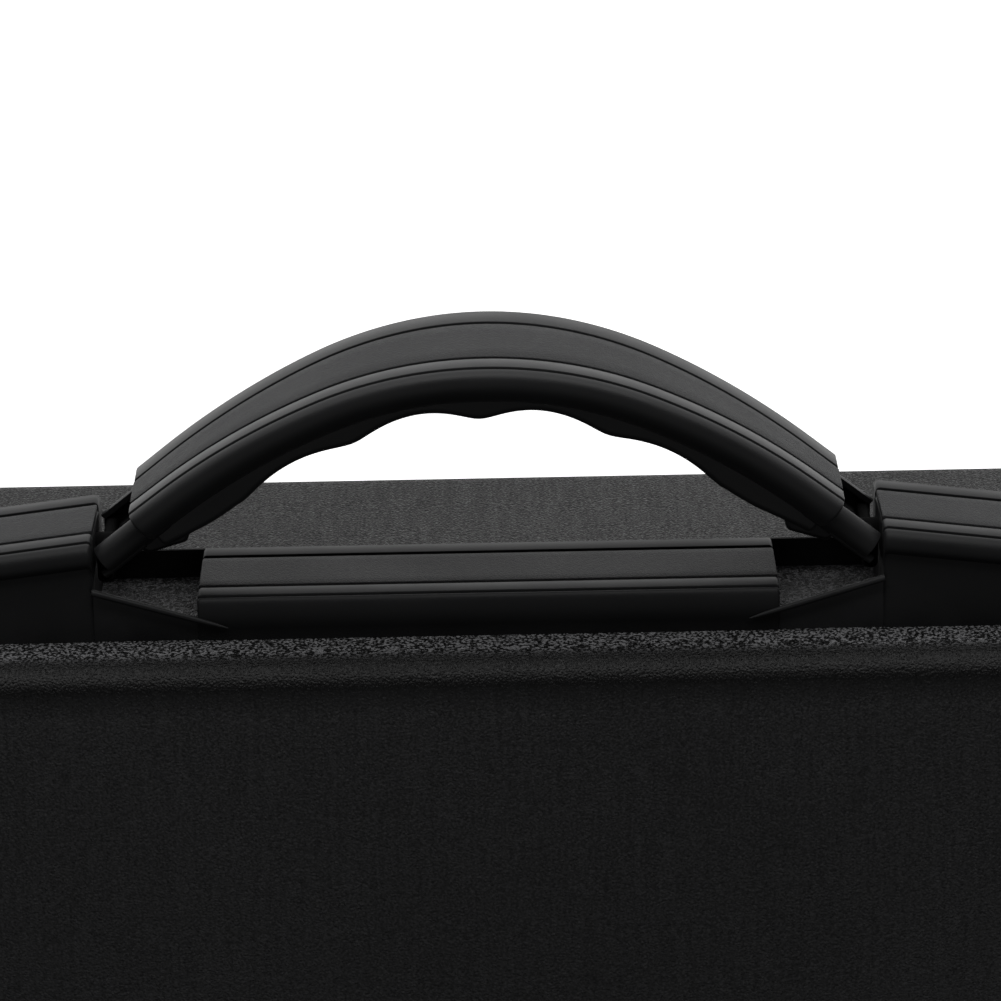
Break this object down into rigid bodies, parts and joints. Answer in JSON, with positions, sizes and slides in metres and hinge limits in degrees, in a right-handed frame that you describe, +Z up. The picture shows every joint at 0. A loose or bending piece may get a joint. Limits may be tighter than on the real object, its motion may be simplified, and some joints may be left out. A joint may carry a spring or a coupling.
{
  "type": "violin case",
  "caption": "Hard-shell oblong violin case with a hinged lid, ribbed bumper, latches and an arched carrying handle between raised shoulders.",
  "frame": {"origin": "under the middle of the whole case's box, handle and rear studs included, at the height of the feet it lies on", "axes": "+X along the case's length, to the right of someone facing the handle from behind the case's hinges; +Z up through the lid; the handle and latches face -Y and the hinges +Y"},
  "size_m": [0.802, 0.3269, 0.1299],
  "materials": {
    "shell_black": "fine leather grain",
    "trim_black": "satin",
    "rubber_black": "fine matte",
    "rubber_grip": "satin",
    "steel": "brushed",
    "latch_black": "satin black",
    "plush": "short plush",
    "strap_black": "woven",
    "wood_dark": "satin"
  },
  "bodies": {
    "base": {"base_shell": "shell_black", "base_bumper": "trim_black", "bumper_inlay": "rubber_black", "strip_inlay": "rubber_black", "shoulder_inlay_right": "rubber_black", "shoulder_inlay_left": "rubber_black", "handle_pin_right": "steel", "handle_pin_left": "steel", "latch_plates": "latch_black", "latch_pins": "steel", "hinge_leaves_base": "latch_black", "hinge_pins": "steel", "hinge_rivets_base": "steel", "base_feet": "rubber_black", "rear_feet": "rubber_black", "base_lining": "plush", "body_floor": "plush", "body_foam_front": "plush", "body_foam_rear": "plush", "end_partition": "plush", "neck_wall_front": "plush", "neck_wall_rear": "plush", "neck_bed": "plush", "neck_cradle": "plush", "neck_strap": "strap_black", "neck_strap_anchors": "strap_black", "suspension_pads": "plush"},
    "lid": {"lid_shell": "shell_black", "lid_bumper": "trim_black", "lid_lining": "plush", "latch_keepers": "latch_black", "hinge_leaves_lid": "latch_black", "hinge_rivets_lid": "steel", "bow_rest": "plush", "bow_screws": "steel", "bow_tip_pockets": "plush"},
    "handle": {"handle_core": "trim_black", "handle_grip": "rubber_grip", "handle_inlay": "rubber_black"},
    "lever_left": {"latch_lever_left": "latch_black"},
    "lever_right": {"latch_lever_right": "latch_black"},
    "holder_front": {"bow_holder_front": "wood_dark"},
    "holder_rear": {"bow_holder_rear": "wood_dark"}
  },
  "joints": [
    {"name": "lid_hinge", "type": "hinge", "parent": "base", "child": "lid", "pos_m": [0, 0.15805, 0.10435], "axis": [-1, 0, 0], "range_deg": [0, 100]},
    {"name": "handle_swing", "type": "hinge", "parent": "base", "child": "handle", "pos_m": [0, -0.12175, 0.096], "axis": [-1, 0, 0], "range_deg": [-35, 45]},
    {"name": "latch_left", "type": "hinge", "parent": "base", "child": "lever_left", "pos_m": [-0.235, -0.11275, 0.087], "axis": [1, 0, 0], "range_deg": [0, 150]},
    {"name": "latch_right", "type": "hinge", "parent": "base", "child": "lever_right", "pos_m": [0.235, -0.11275, 0.087], "axis": [1, 0, 0], "range_deg": [0, 150]},
    {"name": "bow_holder_turn_front", "type": "hinge", "parent": "lid", "child": "holder_front", "pos_m": [-0.262, -0.01755, 0.10835], "axis": [0, 0, 1], "range_deg": [-90, 90]},
    {"name": "bow_holder_turn_rear", "type": "hinge", "parent": "lid", "child": "holder_rear", "pos_m": [-0.262, 0.05645, 0.10835], "axis": [0, 0, 1], "range_deg": [-90, 90]}
  ]
}
